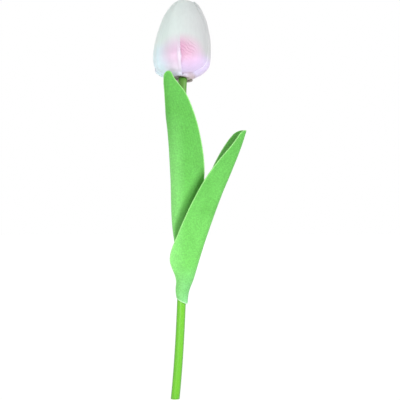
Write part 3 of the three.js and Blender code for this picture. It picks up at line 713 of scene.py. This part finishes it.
def make_petal(name, azimuth, depth, start, end, widths, joins, resting, flare, waves, material):
    """A petal is a curved foam shell. Near the mouth it reaches as far round as its joins say, in degrees.
    Its rim sinks by the resting depth to lie on the petal below, apart from the rolled lip on its right edge
    and a lower one on its left edge. Its tip flares outwards."""
    rows = []
    for along, narrowing in tipped_rows(PETAL_ROWS, PETAL_TIP):
        share = start + (end - start) * along
        point, tangent = profile_at(share)
        half = min(read_track(widths, along)[0] / point.x, WIDEST_HALF_ANGLE) * narrowing
        low_share = (1 - smooth_step(share, *LOW_FADE)) if resting else 0
        halves = half * (1 + WIDER_LEFT * low_share), half * (1 - NARROWER_RIGHT * low_share)
        closed = 1 - smooth_step(share, *JOIN_FADE)
        reaches = [open_half + (radians(join) - open_half) * closed for open_half, join in zip(halves, joins)]
        middle = radians(azimuth + PETAL_TWIST * (1 - share) ** 2)
        lips = between(point.y, *LEFT_LIP_FADES, LEFT_LIP), between(point.y, *RIGHT_LIP_FADES)
        body = between(along, *BODY_FADES)
        sinking = SINK_WIDTH + SINK_GAIN * smooth_step(point.y, *SINK_FADE)
        rested = smooth_step(share, *REST_FADE)
        rows.append((along, share, point, tangent, reaches, middle, lips, body, sinking, rested))

    def point_at(across, row, skin):
        along, share, point, tangent, reaches, middle, lips, body, sinking, rested = row
        reach = reaches[across > 0]
        side_edge = (1 - abs(across)) * reach * point.x
        tip_edge = (end - share) * profile_lengths[-1]
        edge = side_edge * tip_edge / max(side_edge + tip_edge, SHORTEST)
        lip = lips[across > 0] if resting else 0
        sunk = depth + SKIN_DEPTH + resting * (1 - lip) * hump(edge, sinking) * rested
        sunk -= lip * BEAD_HEIGHT * hump(edge - BEAD_INSET, BEAD_WIDTH)
        sunk += lip * HEM_DROP * hump(edge, HEM_WIDTH)
        sunk += GROOVE_DEPTH * hump(across * reach * point.x, GROOVE_WIDTH) * body
        sunk -= WAVE_HEIGHT * body * sin(waves + 7 * across + 3 * along) * sin(waves * 2 + 5 * along)
        if skin:
            sunk += RIM + (FOAM - RIM) * smooth_step(edge, 0, RIM_WIDTH) * smooth_step(share, *FOAM_FADE)
            sunk += resting * lip * hump(edge, sinking) * rested
        else:
            sunk -= flare * smooth_step(along, *FLARE_FADE)
        angle = middle + reach * across
        radius = point.x - tangent.y * sunk
        place = radius * sin(angle) - belly_shift(share), -radius * cos(angle), point.y + tangent.x * sunk
        return head_place @ Vector(place), edge if across > 0 else edge + LEFT_RIM_COVER

    return finish_mesh(two_skins(PETAL_COLUMNS, rows, point_at, PETAL_ROUNDING), name, material)


def sprayed_foam(name, sprays):
    """Polyurethane foam skin: satin and faintly translucent, white with a mint cast above, icy on the left
    and violet on the right below, with painted light and shade making the left lighter and the right greyer.
    It is airbrushed pink where the petals meet and has painted shade round the mouth. Faint streaks run up
    it, its lower rims are pale, partly unsprayed and partly a painted highlight on the rolled lip, and it is
    creased beside the front blush. Each spray has an azimuth, a rise, a width, a height, a colour and an
    amount."""
    made, tree, where = new_material(name)
    turned = head_axis.rotation_difference(Vector((0, 0, 1))).to_euler()
    moved = add_node(tree, "VectorMath", {0: where, 1: head_place.translation * MM}, operation="SUBTRACT")
    in_head = add_node(tree, "Mapping", {"Vector": moved, "Rotation": turned})
    axes = add_node(tree, "SeparateXYZ", {0: in_head}).outputs
    cloud = add_node(tree, "TexNoise", {"Vector": where, "Scale": 1 / (14 * MM), "Detail": 3.0})
    soft = add_node(tree, "MapRange", {
        "Value": cloud, "From Min": 0.3, "From Max": 0.7, "To Min": -5 * MM, "To Max": 5 * MM})
    level = add_node(tree, "Math", {0: axes["Z"], 1: soft}, operation="ADD")
    # Painted light and shade: the left side is lighter and the right side greyer, the lower left brightest
    side = add_node(tree, "MapRange", {
        "Value": axes["X"], "From Min": -24 * MM, "From Max": 16 * MM}, interpolation_type="SMOOTHSTEP")
    high_tone = add_node(tree, "Mix", {"Factor": side, "A": "e6f4ef", "B": "cdcfd0"}, data_type="RGBA")
    low_tone = add_node(tree, "Mix", {"Factor": side, "A": "e0f8ff", "B": "e2d2f6"}, data_type="RGBA")
    low_down = add_node(tree, "MapRange", {
        "Value": level, "From Min": 7 * MM, "From Max": 26 * MM, "To Min": 1.0, "To Max": 0.0},
        interpolation_type="SMOOTHSTEP")
    tone = add_node(tree, "Mix", {"Factor": low_down, "A": high_tone, "B": low_tone}, data_type="RGBA")

    def spot_at(azimuth, rise, wide, tall):
        """A round spot on the bud, 1 at its middle and 0 from its rim on. Its place and size are in mm."""
        belly = 21
        middle = direction(azimuth) * belly + Vector((-BELLY_SHIFT, 0, rise))
        aimed = add_node(tree, "VectorMath", {0: in_head, 1: middle * MM}, operation="SUBTRACT")
        sized = add_node(tree, "Mapping", {
            "Vector": aimed, "Scale": (1 / (wide * MM), 1 / (wide * MM), 1 / (tall * MM))})
        return add_node(tree, "TexGradient", {"Vector": sized}, gradient_type="SPHERICAL").outputs["Fac"]

    for azimuth, rise, wide, tall, colour, amount in sprays:
        spray = add_node(tree, "MapRange", {
            "Value": spot_at(azimuth, rise, wide, tall), "From Max": 0.9, "To Max": amount},
            interpolation_type="SMOOTHSTEP")
        tone = add_node(tree, "Mix", {"Factor": spray, "A": tone, "B": colour}, data_type="RGBA")
    rim = add_node(tree, "Attribute", attribute_name="rim").outputs["Fac"]
    # Pale lower rims: partly unsprayed foam, partly a painted highlight along the rolled lip
    pale_rim_and_highlight = add_node(tree, "MapRange", {
        "Value": rim, "From Min": 1.9, "From Max": 2.6, "To Min": 0.7, "To Max": 0.0},
        interpolation_type="SMOOTHSTEP")
    below = add_node(tree, "MapRange", {
        "Value": axes["Z"], "From Min": 13 * MM, "From Max": 22 * MM, "To Min": 1.0, "To Max": 0.0})
    above = add_node(tree, "MapRange", {"Value": axes["Z"], "From Min": 4 * MM, "From Max": 9 * MM})
    for limit in (below, above):
        pale_rim_and_highlight = add_node(tree, "Math", {0: pale_rim_and_highlight, 1: limit}, operation="MULTIPLY")
    tone = add_node(tree, "Mix", {"Factor": pale_rim_and_highlight, "A": tone, "B": "eee6f4"}, data_type="RGBA")
    # Painted shade: a dull brownish pink round the mouth, under the bud
    spread = add_node(tree, "VectorMath", {0: in_head, 1: (1, 1, 0)}, operation="MULTIPLY")
    spread = add_node(tree, "VectorMath", {0: spread}, operation="LENGTH")
    mouth_shade = add_node(tree, "MapRange", {
        "Value": spread, "From Min": 7.8 * MM, "From Max": 11.2 * MM, "To Min": 0.85, "To Max": 0.0},
        interpolation_type="SMOOTHSTEP")
    by_mouth = add_node(tree, "Math", {0: axes["Z"], 1: 8 * MM}, operation="LESS_THAN")
    mouth_shade = add_node(tree, "Math", {0: mouth_shade, 1: by_mouth}, operation="MULTIPLY")
    tone = add_node(tree, "Mix", {"Factor": mouth_shade, "A": tone, "B": "bda7a6"}, data_type="RGBA")
    grain = add_node(tree, "TexNoise", {"Vector": where, "Scale": 1 / (0.6 * MM), "Detail": 2.0})
    lengthways = add_node(tree, "Mapping", {"Vector": in_head, "Scale": (1, 1, 0.12)})
    fibres = add_node(tree, "TexNoise", {"Vector": lengthways, "Scale": 1 / (1.6 * MM), "Detail": 2.0})
    streaks = add_node(tree, "MapRange", {
        "Value": fibres, "From Min": 0.3, "From Max": 0.7, "To Min": 0.975, "To Max": 1.025})
    tone = add_node(tree, "VectorMath", {0: tone, "Scale": streaks}, operation="SCALE")
    slanted = add_node(tree, "Mapping", {"Vector": in_head, "Rotation": (0, radians(-35), 0)})
    creases = add_node(tree, "TexWave", {
        "Vector": slanted, "Scale": 1 / (7 * MM), "Distortion": 7.0, "Detail": 2.0},
        bands_direction="Z").outputs["Fac"]
    crease_spot = spot_at(azimuth=15, rise=18, wide=9, tall=9)
    creases = add_node(tree, "Math", {0: creases, 1: crease_spot}, operation="MULTIPLY")
    relief = add_node(tree, "Math", {0: fibres, 1: FIBRE_RELIEF, 2: grain}, operation="MULTIPLY_ADD")
    relief = add_node(tree, "Math", {0: creases, 1: CREASE_RELIEF, 2: relief}, operation="MULTIPLY_ADD")
    relief = add_node(tree, "Bump", {"Height": relief, "Strength": 0.4, "Distance": 0.08 * MM})
    foam = add_node(tree, "BsdfPrincipled", {
        "Base Color": tone, "Roughness": 0.38, "IOR": 1.45, "Normal": relief, "Subsurface Weight": 0.12,
        "Subsurface Radius": (1, 0.8, 0.8), "Subsurface Scale": 1.2 * MM, "Sheen Weight": 0.1,
        "Sheen Roughness": 0.4})
    add_node(tree, "OutputMaterial", {"Surface": foam})
    return made


# The near-white outer spray low at the front is painted light over the leaf tip's shadow
outer_foam = sprayed_foam("sprayed_outer_petal_foam", [
    (-6, 13, 18, 18, "dfc2da", 1.0), (-6, 0, 15, 9, "ffecff", 1.0), (130, 14, 20, 18, "f0c2dc", 0.8),
    (215, 14, 18, 18, "f0c2dc", 0.8)])
# The narrow deep pink inner spray beside the front seam is painted shadow under the outer petal's lip
inner_foam = sprayed_foam("sprayed_inner_petal_foam", [
    (30, 6, 24, 18, "e4ccf2", 1.0), (8, 17, 21, 15, "e4b6d0", 1.0), (2, 14, 5, 16, "cf96b8", 0.6),
    (140, 14, 24, 18, "f0b8d6", 0.9), (225, 14, 22, 18, "f0b8d6", 0.9)])

OUTER_WIDTHS = [(0, 6.5), (0.03, 7.8), (0.07, 8.6), (0.15, 10.3), (0.3, 11.2), (0.47, 11.6), (0.64, 10.2),
                (0.8, 8.2), (0.92, 5.6), (0.97, 4.2), (1, 2.4)]
INNER_WIDTHS = [(0, 7.6), (0.07, 11), (0.16, 14.2), (0.35, 15.6), (0.5, 15), (0.7, 12), (0.85, 8), (0.95, 4),
                (1, 1.5)]
OUTER_AZIMUTHS = (-46, 83, 197)
OUTER_ENDS = (0.975, 0.95, 0.955)
OUTER_FLARES = (0.6, 1.1, 0)
RIGHT_JOIN = 26
JOIN_SLIT = 0.5
INNER_AZIMUTHS = (19, 140, -105)
INNER_DEPTH = PETAL_THICKNESS + GAP
REST_GAP = 0.02
for number, (azimuth, end, flare) in enumerate(zip(OUTER_AZIMUTHS, OUTER_ENDS, OUTER_FLARES)):
    before = (azimuth - OUTER_AZIMUTHS[number - 1]) % 360
    joins = (before - RIGHT_JOIN - JOIN_SLIT, RIGHT_JOIN - JOIN_SLIT)
    petal = make_petal(f"outer_petal_foam_{number + 1}", azimuth, depth=0, start=0, end=end,
                       widths=OUTER_WIDTHS, joins=joins, resting=INNER_DEPTH - RIM - REST_GAP, flare=flare,
                       waves=number, material=outer_foam)
    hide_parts(f"outer_petal_{number + 1}")
    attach(petal, "flower_head")
for number, azimuth in enumerate(INNER_AZIMUTHS, 1):
    petal = make_petal(f"inner_petal_foam_{number}", azimuth, depth=INNER_DEPTH, start=0.042, end=1,
                       widths=INNER_WIDTHS, joins=(56, 56), resting=0, flare=0.7, waves=number + 3,
                       material=inner_foam)
    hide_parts(f"inner_petal_{number}")
    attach(petal, "flower_head")


# Receptacle: a moulded plastic boss that shows in the bud's mouth, with a flange over the petals' roots and a
# plug inside, which holds the blind bore for the wire peg.
FLANGE_RADIUS = MOUTH_RADIUS + 2.4
FLANGE_THICKNESS = 1.4
PLUG_WALL = 1.9
PLUG_FOOT = 1
PEG_END_CLEARANCE = 1
BOSS_CLEARANCE = 0.12
INNER_START = 0.07
SEARCH_STEP = 0.002
SHARP_TURN = radians(40)


def spun_piece(name, outline, material, place, steps, rounding=0.0):
    """An outline of radii and heights, spun round the upright axis into a closed solid and put in its place.
    Its corners that turn sharply are rounded."""
    shape = bmesh.new()
    corners = [shape.verts.new((radius, 0, height)) for radius, height in outline]
    edges = [shape.edges.new(pair) for pair in zip(corners, corners[1:])]
    bmesh.ops.spin(shape, geom=corners + edges, cent=(0, 0, 0), axis=(0, 0, 1), angle=2 * pi, steps=steps,
                   use_merge=True)
    bmesh.ops.remove_doubles(shape, verts=shape.verts, dist=0.001)
    bmesh.ops.recalc_face_normals(shape, faces=shape.faces)
    if rounding:
        sharp = [edge for edge in shape.edges if edge.calc_face_angle(0) > SHARP_TURN]
        bmesh.ops.bevel(shape, geom=sharp, offset=rounding, segments=3, profile=0.5, affect="EDGES",
                        material=-1)
    bmesh.ops.transform(shape, matrix=place, verts=shape.verts)
    return finish_mesh(shape, name, material)


def inside_height(radius):
    """The height of the petals' inside at a radius, on the side where they stand nearest to the stem."""
    depth = 2 * PETAL_THICKNESS + GAP
    share = INNER_START
    point, tangent = profile_at(share)
    while point.x - tangent.y * depth - belly_shift(share) < radius:
        share += SEARCH_STEP
        point, tangent = profile_at(share)
    return point.y + tangent.x * depth


# Moulded plastic: pale pinkish beige, satin, with a fine spark-eroded grain and painted olive shade beside
# the stem
leaf_side_shade_place = head_place @ Vector((-2.5, 0, BOSS_HEIGHT))
receptacle_plastic, tree, where = new_material("moulded_receptacle_plastic")
cloud = add_node(tree, "TexNoise", {"Vector": where, "Scale": 1 / (3 * MM), "Detail": 3.0})
tone = add_node(tree, "Mix", {"Factor": cloud, "A": "dfcec6", "B": "d0bcb4"}, data_type="RGBA")
# Painted shade: olive on the boss beside the stem, on the side where the leaf stands
apart = add_node(tree, "VectorMath", {0: where, 1: leaf_side_shade_place * MM}, operation="DISTANCE")
leaf_side_shade = add_node(tree, "MapRange", {
    "Value": apart, "From Min": 4 * MM, "From Max": 5.5 * MM, "To Min": 0.9, "To Max": 0.0})
tone = add_node(tree, "Mix", {"Factor": leaf_side_shade, "A": tone, "B": "4d4a30"}, data_type="RGBA")
grain = add_node(tree, "TexNoise", {"Vector": where, "Scale": 1 / (0.3 * MM), "Detail": 2.0})
relief = add_node(tree, "Bump", {"Height": grain, "Strength": 0.3, "Distance": 0.04 * MM})
moulding = add_node(tree, "BsdfPrincipled", {
    "Base Color": tone, "Roughness": 0.45, "IOR": 1.5, "Normal": relief})
add_node(tree, "OutputMaterial", {"Surface": moulding})

flange_bottom = inside_height(FLANGE_RADIUS) + GAP
flange_top = flange_bottom + FLANGE_THICKNESS
bore_top = BOSS_HEIGHT - GAP + PEG_LENGTH + PEG_END_CLEARANCE
plug_top = bore_top + PLUG_WALL
plug_radius = BORE_RADIUS + PLUG_WALL
boss_side = MOUTH_RADIUS - BOSS_CLEARANCE
receptacle = spun_piece("moulded_receptacle", [
    (0, bore_top), (BORE_RADIUS, bore_top), (BORE_RADIUS, BOSS_HEIGHT), (boss_side, BOSS_HEIGHT),
    (boss_side, flange_bottom), (FLANGE_RADIUS, flange_bottom), (FLANGE_RADIUS, flange_top),
    (plug_radius + PLUG_FOOT, flange_top), (plug_radius, flange_top + PLUG_FOOT), (plug_radius, plug_top),
    (0, plug_top)], receptacle_plastic, head_place, steps=72, rounding=0.22)
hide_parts("receptacle")
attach(receptacle, "flower_head")


# Pistil: one moulding in yellow-green plastic, glued on the plug, with a swollen ovary and a stigma of three
# rounded lobes.
PISTIL_RADIUS = 2.6
PISTIL_HEIGHT = 17
LOBES = 3
LOBE_PLACE = (0.6 * PISTIL_RADIUS, 0, 0)
LOBE_RADIUS = 0.75 * PISTIL_RADIUS
LOBE_SHAPE = (1.2, 0.7, 0.8, 1)
MELT_GRID = 0.16

# Moulded plastic: yellow-green with slow changes of tone, satin
pistil_plastic, tree, where = new_material("moulded_pistil_plastic")
cloud = add_node(tree, "TexNoise", {"Vector": where, "Scale": 1 / (1.8 * MM), "Detail": 3.0})
tone = add_node(tree, "Mix", {"Factor": cloud, "A": "d3df8c", "B": "b7c968"}, data_type="RGBA")
relief = add_node(tree, "Bump", {"Height": cloud, "Strength": 0.3, "Distance": 0.1 * MM})
moulding = add_node(tree, "BsdfPrincipled", {
    "Base Color": tone, "Roughness": 0.45, "IOR": 1.5, "Normal": relief})
add_node(tree, "OutputMaterial", {"Surface": moulding})

pistil_base = plug_top + GAP
ovary = [(0, 0), (0.9, 0), (1, 0.02), (1.1, 0.18), (1.15, 0.35), (1.1, 0.5), (0.96, 0.66), (0.85, 0.8),
         (0.86, 0.9), (0.95, 0.985), (0.88, 1), (0, 1)]
outline = [(radius * PISTIL_RADIUS, pistil_base + height * PISTIL_HEIGHT) for radius, height in ovary]
pistil = spun_piece("moulded_pistil", outline, pistil_plastic, head_place, steps=48)
shape = bmesh.new()
shape.from_mesh(pistil.data)
for lobe in range(LOBES):
    place = head_place @ Matrix.Translation((0, 0, pistil_base + PISTIL_HEIGHT)) @ (
        Matrix.Rotation(2 * pi * lobe / LOBES, 4, "Z") @ Matrix.Translation(LOBE_PLACE))
    place = Matrix.Scale(MM, 4) @ place @ Matrix.Diagonal(LOBE_SHAPE)
    bmesh.ops.create_uvsphere(shape, u_segments=24, v_segments=16, radius=LOBE_RADIUS, matrix=place)
shape.to_mesh(pistil.data)
shape.free()
melt = pistil.modifiers.new("melt", "REMESH")
melt.mode = "VOXEL"
melt.voxel_size = MELT_GRID * MM
melt.use_smooth_shade = True
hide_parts("pistil")
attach(pistil, "flower_head")


# Stamens: six plastic filaments that stand on the flange round the pistil, each dipped at the top in a
# granular yellow paint that stands for pollen.
STAMEN_COUNT = 6
STAMEN_RING = 7
FILAMENT_RADIUS = 0.7
FILAMENT_LENGTH = 15
FILAMENT_RINGS = 6
FOOT_ROUNDING = 0.15
ANTHER_RADIUS = 1.3
ANTHER_LENGTH = 10
ARC_STEP = 10

# Painted plastic: mustard yellow and rough from the grit in the paint, with a bare pale filament below it
stamen_plastic, tree, where = new_material("grit_painted_stamen_plastic")
grit = add_node(tree, "TexVoronoi", {"Vector": where, "Scale": 1 / (0.35 * MM)}).outputs["Distance"]
painted = add_node(tree, "Mix", {"Factor": grit, "A": "e2bd45", "B": "b98f22"}, data_type="RGBA")
along = add_node(tree, "VectorMath", {0: where, 1: head_axis}, operation="DOT_PRODUCT")
dip_line = head_place.translation.dot(head_axis) + flange_top + GAP + FILAMENT_LENGTH
dipped = add_node(tree, "Math", {0: along, 1: dip_line * MM}, operation="GREATER_THAN")
tone = add_node(tree, "Mix", {"Factor": dipped, "A": "dbe2b4", "B": painted}, data_type="RGBA")
relief = add_node(tree, "Math", {0: grit, 1: dipped}, operation="MULTIPLY")
relief = add_node(tree, "Bump", {"Height": relief, "Strength": 0.6, "Distance": 0.15 * MM})
paint = add_node(tree, "BsdfPrincipled", {
    "Base Color": tone, "Roughness": 0.75, "IOR": 1.5, "Normal": relief})
add_node(tree, "OutputMaterial", {"Surface": paint})

low_centre = FILAMENT_LENGTH + ANTHER_RADIUS
high_centre = FILAMENT_LENGTH + ANTHER_LENGTH - ANTHER_RADIUS
filament_top = low_centre - sqrt(ANTHER_RADIUS ** 2 - FILAMENT_RADIUS ** 2)
outline = [(0, 0), (FILAMENT_RADIUS - FOOT_ROUNDING, 0), (FILAMENT_RADIUS, FOOT_ROUNDING)]
outline += [(FILAMENT_RADIUS, filament_top * k / FILAMENT_RINGS) for k in range(1, FILAMENT_RINGS + 1)]
for centre, angles in ((low_centre, range(-50, 1, ARC_STEP)), (high_centre, range(0, 91, ARC_STEP))):
    outline += [(ANTHER_RADIUS * cos(radians(angle)), centre + ANTHER_RADIUS * sin(radians(angle)))
                for angle in angles]
for number in range(1, STAMEN_COUNT + 1):
    place = head_place @ Matrix.Rotation(2 * pi * (number - 0.5) / STAMEN_COUNT, 4, "Z")
    place = place @ Matrix.Translation((STAMEN_RING, 0, flange_top + GAP))
    stamen = spun_piece(f"painted_stamen_{number}", outline, stamen_plastic, place, steps=20)
    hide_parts(f"stamen_{number}")
    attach(stamen, "flower_head")
